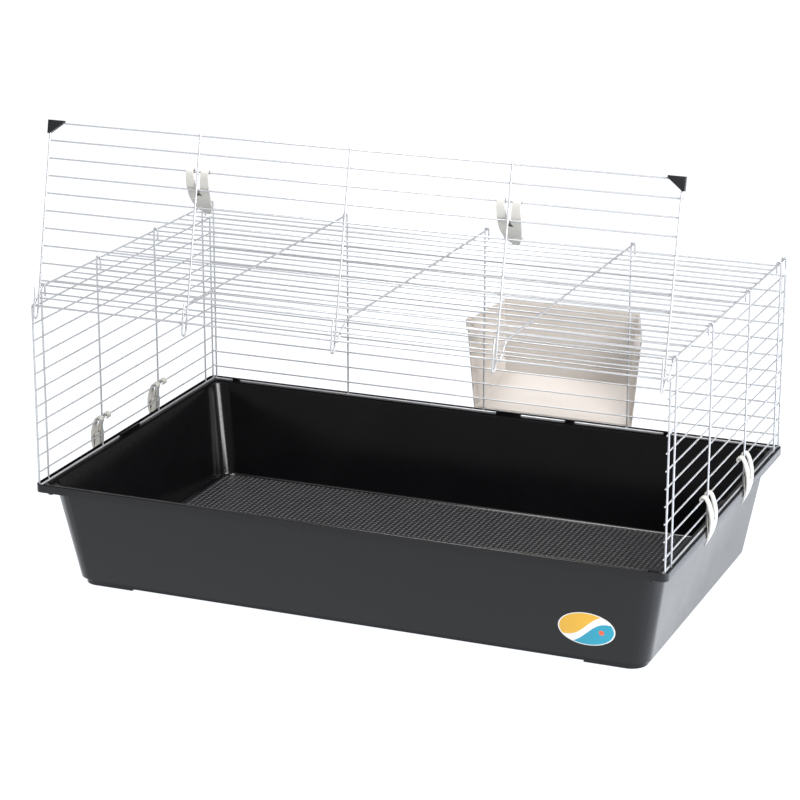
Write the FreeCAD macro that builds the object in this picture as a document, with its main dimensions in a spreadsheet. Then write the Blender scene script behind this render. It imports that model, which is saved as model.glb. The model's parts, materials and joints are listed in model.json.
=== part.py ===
import FreeCAD, Part
import math
import os

import Sketcher
from FreeCAD import Placement, Rotation, Vector

# Wire-top rabbit cage on a deep plastic tray. Millimetres, +Z up, feet on Z = 0.
# X runs along the length and Y from the door side to the back. Every sub-part is drawn about the
# centre of the tray and then moved along Y by the same amount, so that the origin is the middle of
# the whole outline with the door open and the hay rack in place.

doc = FreeCAD.newDocument("RabbitCage")
sheet = doc.addObject("Spreadsheet::Sheet", "Sizes")

DRIVING = {
    # tray
    "tray_length": 950,
    "tray_width": 580,
    "rim_top": 163,
    "rim_plate": 6.2,
    "rim_corner": 10,
    "rim_round": 1.2,
    "skirt_bottom": 151,
    "skirt_wall": 2,
    "tub_low_inset_x": 38,
    "tub_low_inset_y": 40.5,
    "tub_high_inset_x": 13,
    "tub_high_inset_y": 15,
    "tub_corner_low": 28,
    "tub_corner_high": 33,
    "tub_wall": 3.5,
    "tub_under": 10,
    "floor_top": 13,
    "floor_round": 5,
    "groove_lip": 1.5,
    "groove_width": 8.2,
    "groove_depth": 3.5,
    "groove_corner": 4.5,
    "ridge_drop": 2.5,
    "ridge_width": 4.5,
    "ledge_depth": 5,
    "front_ledge_depth": 22,
    "plinth_inset_x": 45,
    "plinth_inset_y": 46.5,
    "plinth_ring": 13,
    "plinth_corner": 24,
    "foot_height": 2.5,
    "foot_length": 84,
    "foot_depth": 66,
    "tab_height": 3,
    "tab_width": 3.6,
    "side_tab_start": -48,
    "side_tab_length": 60,
    "tab_gap": 0.4,
    "wide_tab_x": 22,
    "wide_tab_length": 40,
    "block_tab_x": 135,
    "block_tab_length": 15,
    "rear_tab_right_x": 293,
    "rear_tab_left_x": -431,
    "rear_tab_length": 12,
    "front_tab_x": 447,
    "front_tab_length": 14,
    "front_tab_inset": 3.2,
    "front_tab_width": 4.5,
    "stop_x": 449,
    "stop_length": 6,
    "stop_width": 5,
    "stop_gap": 2,
    "stop_drop": 3,
    # wires of the cage
    "upright_dia": 2.8,
    "rail_dia": 2.2,
    "base_dia": 3,
    "weld_sink": 0.2,
    "rail_pitch": 24.6,
    "rail_count": 11,
    "top_rail_z": 427,
    "base_wire_z": 161,
    "side_upright_x": 470,
    "end_upright_y": 284.5,
    "outer_upright_y": 257.5,
    "inner_upright_y": 92,
    "side_rail_half": 286.4,
    "side_base_half": 286.4,
    "back_upright_y": 285.3,
    "back_rail_half": 465.4,
    "back_base_half": 465,
    "hook_radius": 3.1,
    "hook_leg": 15,
    # roof
    "roof_z": 451,
    "cross_wire_x": 235,
    "centre_wire_x": 1,
    "cross_wire_rear": 288.5,
    "roof_bend_y": 259,
    "roof_bend_radius": 4,
    "chamfer_angle": 39.4,
    "chamfer_length": 37,
    "hinge_along": 35.8,
    "mid_wire_along": 10,
    "first_long_y": 254.5,
    "long_pitch": 26.4,
    "long_count": 20,
    "long_overhang": 1,
    # door, measured along it from its hinge wire and square to it
    "door_lean": 12.4,
    "door_end_x": 461,
    "door_inner_x": 228,
    "door_centre_x": -4,
    "door_rail_half": 463.2,
    "loop_radius": 6,
    "loop_drop": 11.6,
    "loop_leg_top": 28,
    "door_first_rail": 10.9,
    "door_rail_pitch": 24.7,
    "door_nub": 3.2,
    "cap_length": 24,
    "cap_height": 19,
    "cap_thickness": 7,
    "cap_overhang": 1.4,
    "cap_bore_gap": 0.05,
    # clips
    "clip_rail": 9,
    "door_clip_rail": 8,
    "clip_width": 34,
    "clip_length": 72,
    "clip_tip_width": 25,
    "clip_reach": 13,
    "clip_knuckle": 5,
    "clip_inner_x": 4.2,
    "clip_rim_x": 7.7,
    "clip_lip_z": -55.5,
    "clip_step_z": -40,
    "clip_bore_gap": 0.3,
    "fork_top_width": 14,
    "fork_low_width": 6,
    "fork_depth": 30,
    "clip_rest_angle": 143,
    # hay rack
    "rack_x": 110,
    "rack_gap": 0.6,
    "rack_hook_rail": 5,
    "rack_bottom_z": 163.8,
    "rack_front_top_z": 303,
    "rack_back_top_z": 319,
    "rack_front_low_half": 129,
    "rack_front_toe_half": 129.8,
    "rack_front_knee_half": 133,
    "rack_front_top_half": 142,
    "rack_front_brim_half": 143.5,
    "rack_base_depth": 4,
    "rack_base_half": 127,
    "rack_toe_z": 172,
    "rack_toe_depth": 13,
    "rack_toe_half": 123,
    "rack_knee_z": 207,
    "rack_knee_depth": 69,
    "rack_knee_half": 104,
    "rack_back_depth": 86,
    "rack_back_half": 111,
    "rack_wall": 2.2,
    "rack_hook_width": 8,
    "rack_hook_inset": 6,
    "rack_hook_drop": 14,
    "rack_hook_plate": 2.4,
    # label
    "label_length": 82,
    "label_height": 51,
    "label_thickness": 0.4,
    "label_x": 354,
    "label_z": 55,
}

DERIVED = {
    "half_length": "tray_length / 2",
    "half_width": "tray_width / 2",
    "rim_under": "rim_top - rim_plate",
    "wall_rise": "rim_under - tub_under",
    "wall_slope_x": "(tub_low_inset_x - tub_high_inset_x) / wall_rise",
    "wall_slope_y": "(tub_low_inset_y - tub_high_inset_y) / wall_rise",
    "groove_floor": "rim_top - groove_depth",
    "groove_inner_x": "half_length - groove_lip - groove_width",
    "groove_inner_y": "half_width - groove_lip - groove_width",
    "rail_step": "(upright_dia + rail_dia) / 2 - weld_sink",
    "base_step": "(upright_dia + base_dia) / 2 - weld_sink",
    "side_rail_x": "side_upright_x - rail_step",
    "side_base_x": "side_upright_x - base_step",
    "back_rail_y": "back_upright_y - rail_step",
    "back_base_y": "back_upright_y - base_step",
    "side_cross_x": "side_upright_x - hook_radius",
    "bend_length": "roof_bend_radius * tan(chamfer_angle * 0.5 deg)",
    "hinge_step": "upright_dia - weld_sink",
    "chamfer_cos": "cos(chamfer_angle * 1 deg)",
    "chamfer_sin": "sin(chamfer_angle * 1 deg)",
    "hinge_y": "-roof_bend_y - hinge_along * chamfer_cos - hinge_step * chamfer_sin",
    "hinge_z": "roof_z - hinge_along * chamfer_sin + hinge_step * chamfer_cos",
    "door_rail_back": "loop_radius + rail_step",
    "door_free_rail": "door_first_rail + (rail_count - 1) * door_rail_pitch",
    "door_clip_along": "door_first_rail + door_clip_rail * door_rail_pitch",
    "side_clip_z": "top_rail_z - clip_rail * rail_pitch",
    "rack_front": "back_upright_y + upright_dia / 2 + rack_gap",
    "rack_back": "rack_front + rack_back_depth",
    "loop_front": "hinge_y - loop_drop * sin(door_lean * 1 deg) - loop_radius - upright_dia / 2",
    "origin_shift": "(rack_back + loop_front) / 2",
}

for row, (alias, value) in enumerate({**DRIVING, **DERIVED}.items(), start=1):
    sheet.set(f"A{row}", alias)
    sheet.set(f"B{row}", str(value) if alias in DRIVING else f"={value}")
    sheet.setAlias(f"B{row}", alias)
doc.recompute()


def with_sheet(expression):
    """The expression with each alias written the way other objects name the sheet's cells."""
    word, out = "", ""
    for letter in f"{expression} ":
        if letter.isalnum() or letter == "_":
            word += letter
            continue
        out += f"Sizes.{word}" if word in DRIVING or word in DERIVED else word
        out += letter
        word = ""
    return out.strip()


def number(expression):
    """The present value of an expression."""
    value = sheet.evalExpression(with_sheet(expression))
    return float(getattr(value, "Value", value))


def bind(thing, prop, expression):
    thing.setExpression(prop, with_sheet(expression))


def place(thing, where, rotation=Rotation()):
    """Put an object at a point given by three expressions."""
    thing.Placement = Placement(Vector(*[number(e) for e in where]), rotation)
    for axis, expression in zip("xyz", where):
        bind(thing, f"Placement.Base.{axis}", expression)


nodes = []


def finish_node(thing, label, where=("0", "0", "0"), rotation=Rotation()):
    """Name a sub-part and move it from the tray's centre to the shared origin."""
    thing.Label = label
    place(thing, (where[0], f"{where[1]} - origin_shift", where[2]), rotation)
    nodes.append(thing)


# ---------------------------------------------------------------- round wires

ALONG_X = Rotation(Vector(0, 1, 0), 90)
ALONG_Y = Rotation(Vector(1, 0, 0), -90)
ALONG_Z = Rotation()
UP = Vector(0, 0, 1)


def rod(name, diameter, length, start, way):
    """A straight round wire from a start point."""
    wire = doc.addObject("Part::Cylinder", name)
    bind(wire, "Radius", f"({diameter}) / 2")
    bind(wire, "Height", length)
    place(wire, start, way)
    return wire


def bend(name, diameter, radius, angle, centre, first, second):
    """A round wire bent about a centre, from the side 'first' of it towards the side 'second'."""
    wire = doc.addObject("Part::Torus", name)
    bind(wire, "Radius1", radius)
    bind(wire, "Radius2", f"({diameter}) / 2")
    bind(wire, "Angle3", angle)
    place(wire, centre, Rotation(first, second, first.cross(second), "ZXY"))
    return wire


def joined(name, pieces):
    """One bent wire from its straight and bent stretches."""
    whole = doc.addObject("Part::MultiFuse", name)
    whole.Shapes = pieces
    whole.Refine = True
    return whole


def wire_group(label, wires, where=("0", "0", "0"), rotation=Rotation()):
    """Several alike wires of one panel as one sub-part."""
    group = doc.addObject("Part::Compound", label)
    group.Links = wires
    finish_node(group, label, where, rotation)
    return group


def hooked_upright(name, x, y, way):
    """A panel upright that bends over a roof wire at its top. The roof wire is on its side way, -1 or 1."""
    arch_x = f"{x} + {way} * hook_radius"
    leg_x = f"{x} + {2 * way} * hook_radius"
    return joined(name, [
        rod(name + "Rise", "upright_dia", "roof_z - base_wire_z", (x, y, "base_wire_z"), ALONG_Z),
        bend(name + "Arch", "upright_dia", "hook_radius", "180", (arch_x, y, "roof_z"),
             Vector(-way, 0, 0), UP),
        rod(name + "Leg", "upright_dia", "hook_leg", (leg_x, y, "roof_z - hook_leg"), ALONG_Z),
    ])


def level_rails(name, half, way, side):
    """Rails of one upright panel. side gives the line that they cross, as its fixed coordinate."""
    rails = []
    for i in range(int(number("rail_count"))):
        height = f"top_rail_z - {i} * rail_pitch"
        start = (side, f"-{half}", height) if way is ALONG_Y else (f"-{half}", side, height)
        rails.append(rod(f"{name}{i}", "rail_dia", f"2 * {half}", start, way))
    return rails


def side_panel(side, sign):
    """Left or right panel: uprights outside, rails inside them, and a thicker wire in the rim's groove."""
    x = f"{sign} * side_upright_x"
    tall_places = ("-outer_upright_y", "-inner_upright_y", "inner_upright_y", "outer_upright_y")
    tall = [hooked_upright(f"{side}Tall{i}", x, y, -sign) for i, y in enumerate(tall_places)]
    short_length = "top_rail_z + rail_dia / 2 - base_wire_z"
    short = [rod(f"{side}Short{i}", "upright_dia", short_length, (x, y, "base_wire_z"), ALONG_Z)
             for i, y in enumerate(("-end_upright_y", "end_upright_y"))]
    rails = level_rails(f"{side}Rail", "side_rail_half", ALONG_Y, f"{sign} * side_rail_x")
    base = rod(f"{side}Base", "base_dia", "2 * side_base_half",
               (f"{sign} * side_base_x", "-side_base_half", "base_wire_z"), ALONG_Y)
    lower = side.lower()
    wire_group(f"{lower}_panel_hooked_uprights", tall)
    wire_group(f"{lower}_panel_end_uprights", short)
    wire_group(f"{lower}_panel_rails", rails)
    wire_group(f"{lower}_panel_base_wire", [base])


CROSS_WIRES = ("-side_cross_x", "-cross_wire_x", "centre_wire_x", "cross_wire_x", "side_cross_x")


def back_panel():
    """Back panel: each upright stands beside a roof cross wire and hooks over that wire's rear end."""
    stands = zip(CROSS_WIRES, (-1, -1, 1, 1, 1))
    uprights = [hooked_upright(f"BackTall{i}", f"{x} - {way} * hook_radius", "back_upright_y", way)
                for i, (x, way) in enumerate(stands)]
    base = rod("BackBase", "base_dia", "2 * back_base_half",
               ("-back_base_half", "back_base_y", "base_wire_z"), ALONG_X)
    wire_group("back_panel_hooked_uprights", uprights)
    wire_group("back_panel_rails", level_rails("BackRail", "back_rail_half", ALONG_X, "back_rail_y"))
    wire_group("back_panel_base_wire", [base])


def roof():
    """Roof: cross wires bent down at the front, long wires under them, the hinge wire on their ends."""
    slope_turn = Rotation(Vector(1, 0, 0), 90 + number("chamfer_angle"))
    flat_y = "-roof_bend_y + bend_length"
    flat_length = "cross_wire_rear + roof_bend_y - bend_length"
    slope_y, slope_z = "-roof_bend_y - bend_length * chamfer_cos", "roof_z - bend_length * chamfer_sin"
    cross = []
    for i, x in enumerate(CROSS_WIRES):
        slope = rod(f"Cross{i}Slope", "upright_dia", "chamfer_length - bend_length",
                    (x, slope_y, slope_z), slope_turn)
        cross.append(joined(f"Cross{i}", [
            rod(f"Cross{i}Flat", "upright_dia", flat_length, (x, flat_y, "roof_z"), ALONG_Y),
            bend(f"Cross{i}Bend", "upright_dia", "roof_bend_radius", "chamfer_angle",
                 (x, flat_y, "roof_z - roof_bend_radius"), UP, Vector(0, -1, 0)),
            slope,
        ]))
    half = "(side_cross_x + long_overhang)"
    long_wires = []
    for i in range(int(number("long_count"))):
        start = (f"-{half}", f"first_long_y - {i} * long_pitch", "roof_z - rail_step")
        long_wires.append(rod(f"Long{i}", "rail_dia", f"2 * {half}", start, ALONG_X))
    mid_y = "-roof_bend_y - mid_wire_along * chamfer_cos + rail_step * chamfer_sin"
    mid_z = "roof_z - mid_wire_along * chamfer_sin - rail_step * chamfer_cos"
    mid = rod("ChamferWire", "rail_dia", f"2 * {half}", (f"-{half}", mid_y, mid_z), ALONG_X)
    hinge_half = "(side_cross_x + upright_dia / 2)"
    hinge = rod("HingeWire", "upright_dia", f"2 * {hinge_half}",
                (f"-{hinge_half}", "hinge_y", "hinge_z"), ALONG_X)
    wire_group("roof_cross_wires", cross)
    wire_group("roof_long_wires", long_wires)
    wire_group("roof_front_wire", [mid])
    wire_group("door_hinge_wire", [hinge])


DOOR_HINGE = ("0", "hinge_y", "hinge_z")


def door_wires():
    """Door, drawn upright about its hinge wire and then leaned back. Its uprights loop round that wire."""
    rise = "door_free_rail + door_nub + loop_drop"
    leg = "loop_leg_top + loop_drop"
    lean = Rotation(Vector(-1, 0, 0), number("door_lean"))
    uprights = []
    for i, x in enumerate(("-door_end_x", "-door_inner_x", "door_centre_x", "door_inner_x", "door_end_x")):
        uprights.append(joined(f"DoorUpright{i}", [
            rod(f"Door{i}Rise", "upright_dia", rise, (x, "loop_radius", "-loop_drop"), ALONG_Z),
            bend(f"Door{i}Loop", "upright_dia", "loop_radius", "180", (x, "0", "-loop_drop"),
                 Vector(0, 1, 0), -UP),
            rod(f"Door{i}Leg", "upright_dia", leg, (x, "-loop_radius", "-loop_drop"), ALONG_Z),
        ]))
    rails = [rod(f"DoorRail{i}", "rail_dia", "2 * door_rail_half",
                 ("-door_rail_half", "door_rail_back", f"door_first_rail + {i} * door_rail_pitch"), ALONG_X)
             for i in range(int(number("rail_count")))]
    for label, wires in (("door_uprights", uprights), ("door_rails", rails)):
        bind(wire_group(label, wires, DOOR_HINGE, lean), "Placement.Rotation.Angle", "door_lean")


# ---------------------------------------------------------------- sketched bodies


def new_body(label):
    return doc.addObject("PartDesign::Body", "".join(w.capitalize() for w in label.split("_")))


def sketch_on(body, name, role, lift="0"):
    """A sketch on one of the body's own origin planes, lifted along that plane's normal."""
    sketch = body.newObject("Sketcher::SketchObject", body.Name + name)
    plane = next(feature for feature in body.Origin.OriginFeatures if feature.Role == role)
    sketch.AttachmentSupport = (plane, "")
    sketch.MapMode = "FlatFace"
    bind(sketch, "AttachmentOffset.Base.z", lift)
    return sketch


def hold(sketch, kind, references, expression):
    """A dimension in a sketch that follows an expression."""
    index = sketch.addConstraint(Sketcher.Constraint(kind, *references, number(expression)))
    sketch.setExpression(f"Constraints[{index}]", with_sheet(expression))


def hold_point(sketch, index, end, x, y):
    """Hold one end of a line or arc at a point given by two expressions."""
    for kind, expression in (("DistanceX", x), ("DistanceY", y)):
        value = number(expression)
        if abs(value) < 1e-9:
            axis = -2 if kind == "DistanceX" else -1
            sketch.addConstraint(Sketcher.Constraint("PointOnObject", index, end, axis))
        elif value > 0:
            hold(sketch, kind, (-1, 1, index, end), expression)
        else:
            hold(sketch, kind, (index, end, -1, 1), f"-({expression})")


def outline(sketch, corners):
    """A closed outline, clockwise where it has arcs.

    A corner is (x, y), or (x, y, bulge) where bulge is the height of the outward arc that leaves it.
    """
    points = [Vector(number(corner[0]), number(corner[1]), 0) for corner in corners]
    sides = []
    for i, here in enumerate(points):
        there = points[(i + 1) % len(points)]
        if len(corners[i]) > 2:
            outward = UP.cross(there - here).normalize()
            middle = (here + there) * 0.5 + outward * number(corners[i][2])
            index = sketch.addGeometry(Part.Arc(here, middle, there), False)
            start = 1 if sketch.getPoint(index, 1).distanceToPoint(here) < 1e-6 else 2
        else:
            index = sketch.addGeometry(Part.LineSegment(here, there), False)
            start = 1
        sides.append((index, start))
    for i, (index, start) in enumerate(sides):
        after, after_start = sides[(i + 1) % len(sides)]
        sketch.addConstraint(Sketcher.Constraint("Coincident", index, 3 - start, after, after_start))
        hold_point(sketch, index, start, corners[i][0], corners[i][1])
        if len(corners[i]) > 2:
            (x0, y0), (x1, y1), height = corners[i][:2], corners[(i + 1) % len(corners)][:2], corners[i][2]
            chord_squared = f"((({x1}) - ({x0}))^2 + (({y1}) - ({y0}))^2)"
            hold(sketch, "Radius", (index,), f"({chord_squared} / 4 + ({height})^2) / (2 * ({height}))")


def rectangle(sketch, low_x, low_y, high_x, high_y):
    outline(sketch, [(low_x, low_y), (high_x, low_y), (high_x, high_y), (low_x, high_y)])


def rounded_rectangle(sketch, half_x, half_y, corner):
    """A rectangle about the sketch's origin with four equal round corners."""
    a, b, r = number(half_x), number(half_y), number(corner)
    sides = [((-a + r, -b), (a - r, -b)), ((a, -b + r), (a, b - r)),
             ((a - r, b), (-a + r, b)), ((-a, b - r), (-a, -b + r))]
    centres = [(a - r, -b + r), (a - r, b - r), (-a + r, b - r), (-a + r, -b + r)]
    first = sketch.GeometryCount
    for i, ((start, end), centre) in enumerate(zip(sides, centres)):
        sketch.addGeometry(Part.LineSegment(Vector(*start, 0), Vector(*end, 0)), False)
        turn = math.radians(90 * (i - 1))
        circle = Part.Circle(Vector(*centre, 0), UP, r)
        sketch.addGeometry(Part.ArcOfCircle(circle, turn, turn + math.pi / 2), False)
    for i in range(4):
        line, arc, after = first + 2 * i, first + 2 * i + 1, first + (2 * i + 2) % 8
        sketch.addConstraint(Sketcher.Constraint("Tangent", line, 2, arc, 1))
        sketch.addConstraint(Sketcher.Constraint("Tangent", arc, 2, after, 1))
        if i > 1:
            sketch.addConstraint(Sketcher.Constraint("Vertical" if i % 2 else "Horizontal", line))
        if i:
            sketch.addConstraint(Sketcher.Constraint("Equal", first + 1, arc))
    sketch.addConstraint(Sketcher.Constraint("Symmetric", first, 1, first, 2, -2))
    sketch.addConstraint(Sketcher.Constraint("Symmetric", first + 2, 1, first + 2, 2, -1))
    hold(sketch, "Radius", (first + 1,), corner)
    hold(sketch, "DistanceX", (-1, 1, first + 2, 1), half_x)
    hold(sketch, "DistanceY", (first, 1, -1, 1), half_y)


def extrude(body, kind, sketch, length, both_ways=False, reverse=False):
    """A Pad or a Pocket of a sketch."""
    feature = body.newObject(f"PartDesign::{kind}", sketch.Name + kind)
    feature.Profile = sketch
    feature.Reversed = reverse
    if both_ways:
        feature.SideType = "Symmetric"
    bind(feature, "Length", length)
    return feature


def loft(body, kind, sections):
    feature = body.newObject(f"PartDesign::{kind}Loft", sections[0].Name + kind)
    feature.Profile = sections[0]
    feature.Sections = sections[1:]
    feature.Ruled = True
    return feature


def fillet(body, radius, is_edge):
    """Round the edges of the body's present shape that a test picks."""
    doc.recompute()
    base = body.Tip
    names = [f"Edge{i}" for i, edge in enumerate(base.Shape.Edges, start=1) if is_edge(edge)]
    feature = body.newObject("PartDesign::Fillet", f"{base.Name}Round")
    feature.Base = (base, names)
    bind(feature, "Radius", radius)
    doc.recompute()


def tray():
    """Tray: a tapered tub, a rim with a groove that opens inwards at the front, a skirt, tabs and feet."""
    body = new_body("base_tray")

    def ring(name, inset_x, inset_y, height, corner):
        sketch = sketch_on(body, name, "XY_Plane", height)
        rounded_rectangle(sketch, f"half_length - ({inset_x})", f"half_width - ({inset_y})", corner)
        return sketch

    def hole(sketch, inset_x, inset_y, corner):
        rounded_rectangle(sketch, f"half_length - ({inset_x})", f"half_width - ({inset_y})", corner)

    def block(name, low_x, low_y, long, wide, base, height):
        sketch = sketch_on(body, name, "XY_Plane", base)
        rectangle(sketch, low_x, low_y, f"{low_x} + {long}", f"{low_y} + {wide}")
        extrude(body, "Pad", sketch, height)

    bite = 0.5
    loft(body, "Additive", [
        ring("TubLow", "tub_low_inset_x", "tub_low_inset_y", "tub_under", "tub_corner_low"),
        ring("TubHigh", "tub_high_inset_x", "tub_high_inset_y", "rim_under", "tub_corner_high"),
    ])
    extrude(body, "Pad", ring("Rim", "0", "0", "rim_under", "rim_corner"), "rim_plate")
    fillet(body, "rim_round", lambda edge: min(v.Z for v in edge.Vertexes) > number("rim_top") - 0.01)
    skirt = ring("Skirt", "0", "0", "skirt_bottom", "rim_corner")
    hole(skirt, "skirt_wall", "skirt_wall", "rim_corner - skirt_wall")
    extrude(body, "Pad", skirt, f"rim_under - skirt_bottom + {bite}")

    def inside(name, height):
        """The tub's inner wall at a height, one wall thickness inside the outer wall."""
        rise = f"({height} - tub_under)"
        inset_x = f"tub_low_inset_x + tub_wall - {rise} * wall_slope_x"
        inset_y = f"tub_low_inset_y + tub_wall - {rise} * wall_slope_y"
        return ring(name, inset_x, inset_y, height, "tub_corner_low - tub_wall")

    loft(body, "Subtractive", [inside("InsideLow", "floor_top"), inside("InsideHigh", f"rim_top + {bite}")])
    floor_top = number("floor_top")
    fillet(body, "floor_round", lambda edge: all(abs(v.Z - floor_top) < 0.01 for v in edge.Vertexes))
    groove = ring("Groove", "groove_lip", "groove_lip", "rim_top", "rim_corner - groove_lip")
    hole(groove, "groove_lip + groove_width", "groove_lip + groove_width", "groove_corner")
    extrude(body, "Pocket", groove, "groove_depth")
    ridge_inset = "groove_lip + groove_width"
    ridge = ring("Ridge", ridge_inset, ridge_inset, "rim_top", "groove_corner")
    extrude(body, "Pocket", ridge, "ridge_drop")
    ledge_inset = "groove_lip + groove_width + ridge_width"
    ledge = ring("Ledge", ledge_inset, ledge_inset, "rim_top", "groove_corner")
    extrude(body, "Pocket", ledge, "ledge_depth")
    front_ledge = sketch_on(body, "FrontLedge", "XY_Plane", "rim_top")
    rectangle(front_ledge, "-groove_inner_x", "-half_width + groove_lip + 1", "groove_inner_x",
              "-half_width + front_ledge_depth")
    extrude(body, "Pocket", front_ledge, "groove_depth")
    plinth = ring("Plinth", "plinth_inset_x", "plinth_inset_y", "0", "plinth_corner")
    hole(plinth, "plinth_inset_x + plinth_ring", "plinth_inset_y + plinth_ring",
         "plinth_corner - plinth_ring")
    extrude(body, "Pad", plinth, f"tub_under + {bite}")
    foot_x = "(half_length - plinth_inset_x - foot_length)"
    foot_y = "(half_width - plinth_inset_y - foot_depth)"
    for name, x, y in (
        ("BetweenFeetLong", foot_x, "half_width"),
        ("BetweenFeetShort", "half_length", foot_y),
    ):
        gap = sketch_on(body, name, "XY_Plane")
        rectangle(gap, f"-{x}", f"-{y}", x, y)
        extrude(body, "Pocket", gap, "foot_height", reverse=True)
    low, high = f"rim_top - ridge_drop - {bite}", f"ridge_drop + tab_height + {bite}"
    left_x, right_x = "-groove_inner_x + tab_gap", "groove_inner_x - tab_gap - tab_width"
    for name, x in (("TabLeft", left_x), ("TabRight", right_x)):
        block(name, x, "side_tab_start", "tab_width", "side_tab_length", low, high)
    for name, x, long in (
        ("TabWide", "wide_tab_x", "wide_tab_length"),
        ("TabBlock", "block_tab_x", "block_tab_length"),
        ("TabRear", "rear_tab_right_x", "rear_tab_length"),
        ("TabRearLeft", "rear_tab_left_x", "rear_tab_length"),
    ):
        block(name, x, "groove_inner_y - tab_gap - tab_width", long, "tab_width", low, high)
    block("TabFront", "front_tab_x", "-half_width + front_tab_inset", "front_tab_length", "front_tab_width",
          f"groove_floor - {bite}", f"groove_depth + tab_height + {bite}")
    for name, x in (("StopRight", "stop_x"), ("StopLeft", "-stop_x - stop_length")):
        block(name, x, "-half_width + skirt_wall + stop_gap", "stop_length", "stop_width",
              "skirt_bottom - stop_drop", f"rim_under - skirt_bottom + stop_drop + {bite}")
    finish_node(body, "base_tray")


def clip(label, where, turn):
    """Snap clip that turns on a rail, drawn latched: it points down, and its +X is away from the panel."""
    body = new_body(label)
    side = sketch_on(body, "Side", "XZ_Plane")
    outline(side, [
        ("clip_inner_x", "-clip_knuckle"),
        ("-clip_knuckle * 0.6", "-clip_knuckle * 0.8", "1"),
        ("-clip_knuckle * 0.8", "clip_knuckle * 0.6", "1"),
        ("clip_knuckle * 0.6", "clip_knuckle * 0.8", "3.2"),
        ("clip_reach", "-clip_length * 0.45", "5.5"),
        ("0", "-clip_length"),
        ("-1.4", "-clip_length + 1.2"),
        ("2.6", "clip_lip_z"),
        ("clip_rim_x", "clip_lip_z"),
        ("clip_rim_x", "clip_step_z"),
        ("clip_inner_x", "clip_step_z + 5"),
    ])
    extrude(body, "Pad", side, "clip_width", both_ways=True)
    fork = sketch_on(body, "Fork", "YZ_Plane")
    outline(fork, [
        ("-fork_low_width / 2", "-fork_depth"),
        ("-fork_top_width / 2", "-fork_depth * 0.6"),
        ("-fork_top_width / 2", "2 * clip_knuckle"),
        ("fork_top_width / 2", "2 * clip_knuckle"),
        ("fork_top_width / 2", "-fork_depth * 0.6"),
        ("fork_low_width / 2", "-fork_depth"),
    ])
    extrude(body, "Pocket", fork, "6 * clip_reach", both_ways=True)
    taper = sketch_on(body, "Taper", "YZ_Plane")
    for sign in (-1, 1):
        outline(taper, [
            (f"{sign} * clip_width / 2", "-fork_depth * 0.6"),
            (f"{sign} * clip_tip_width / 2", "-clip_length - 1"),
            (f"{sign} * (clip_width / 2 + 1)", "-clip_length - 1"),
            (f"{sign} * (clip_width / 2 + 1)", "-fork_depth * 0.6"),
        ])
    extrude(body, "Pocket", taper, "6 * clip_reach", both_ways=True)
    bore = sketch_on(body, "Bore", "XZ_Plane")
    bore.addGeometry(Part.Circle(Vector(), UP, number("rail_dia / 2 + clip_bore_gap")), False)
    bore.addConstraint(Sketcher.Constraint("Coincident", 0, 3, -1, 1))
    hold(bore, "Radius", (0,), "rail_dia / 2 + clip_bore_gap")
    extrude(body, "Pocket", bore, "2 * clip_width", both_ways=True)
    finish_node(body, label, where, turn)


def clips():
    """Four clips on the side panels, latched under the rim, and two on the door, swung back onto it."""
    for side, sign in (("left", -1), ("right", 1)):
        turn = Rotation(UP, 0 if sign > 0 else 180)
        for end, y in (("front", "-inner_upright_y"), ("rear", "inner_upright_y")):
            clip(f"{side}_{end}_clip", (f"{sign} * side_rail_x", y, "side_clip_z"), turn)
    towards_free_edge = Rotation(Vector(0, 1, 0), Vector(1, 0, 0), -UP, "ZXY")
    swung_back = Rotation(Vector(-1, 0, 0), number("door_lean + clip_rest_angle")).multiply(towards_free_edge)
    lean = "(door_lean * 1 deg)"
    y = f"hinge_y + door_clip_along * sin{lean} + door_rail_back * cos{lean}"
    z = f"hinge_z + door_clip_along * cos{lean} - door_rail_back * sin{lean}"
    for side, x in (("left", "-door_inner_x"), ("right", "door_inner_x")):
        clip(f"door_{side}_clip", (x, y, z), swung_back)


def corner_caps():
    """A plastic triangle pushed over each free corner of the door, bored for the upright and the rail."""
    lean = Rotation(Vector(-1, 0, 0), number("door_lean"))
    for side, sign in (("left", -1), ("right", 1)):
        body = new_body(f"door_{side}_corner_cap")
        edge, top = "(door_rail_half + cap_overhang)", "door_free_rail + door_nub + 0.9"
        face = sketch_on(body, "Face", "XZ_Plane", "-loop_radius - rail_step / 2")
        outline(face, [
            (f"{sign} * {edge}", top),
            (f"{sign} * {edge}", f"{top} - cap_height"),
            (f"{sign} * ({edge} - 3)", f"{top} - cap_height"),
            (f"{sign} * ({edge} - cap_length)", f"{top} - 3"),
            (f"{sign} * ({edge} - cap_length)", top),
        ])
        extrude(body, "Pad", face, "cap_thickness", both_ways=True)
        upright, rail = (f"{sign} * door_end_x", "loop_radius"), ("door_rail_back", "door_free_rail")
        for name, role, centre, radius, length in (
            ("UprightBore", "XY_Plane", upright, "upright_dia / 2", "door_free_rail + door_nub"),
            ("RailBore", "YZ_Plane", rail, "rail_dia / 2", "2 * door_rail_half + 0.2"),
        ):
            bore = sketch_on(body, name, role)
            middle = Vector(number(centre[0]), number(centre[1]), 0)
            bore.addGeometry(Part.Circle(middle, UP, number(radius)), False)
            hold_point(bore, 0, 3, *centre)
            hold(bore, "Radius", (0,), f"{radius} + cap_bore_gap")
            extrude(body, "Pocket", bore, length, role == "YZ_Plane", role == "XY_Plane")
        finish_node(body, f"door_{side}_corner_cap", DOOR_HINGE, lean)
        bind(body, "Placement.Rotation.Angle", "door_lean")


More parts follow.
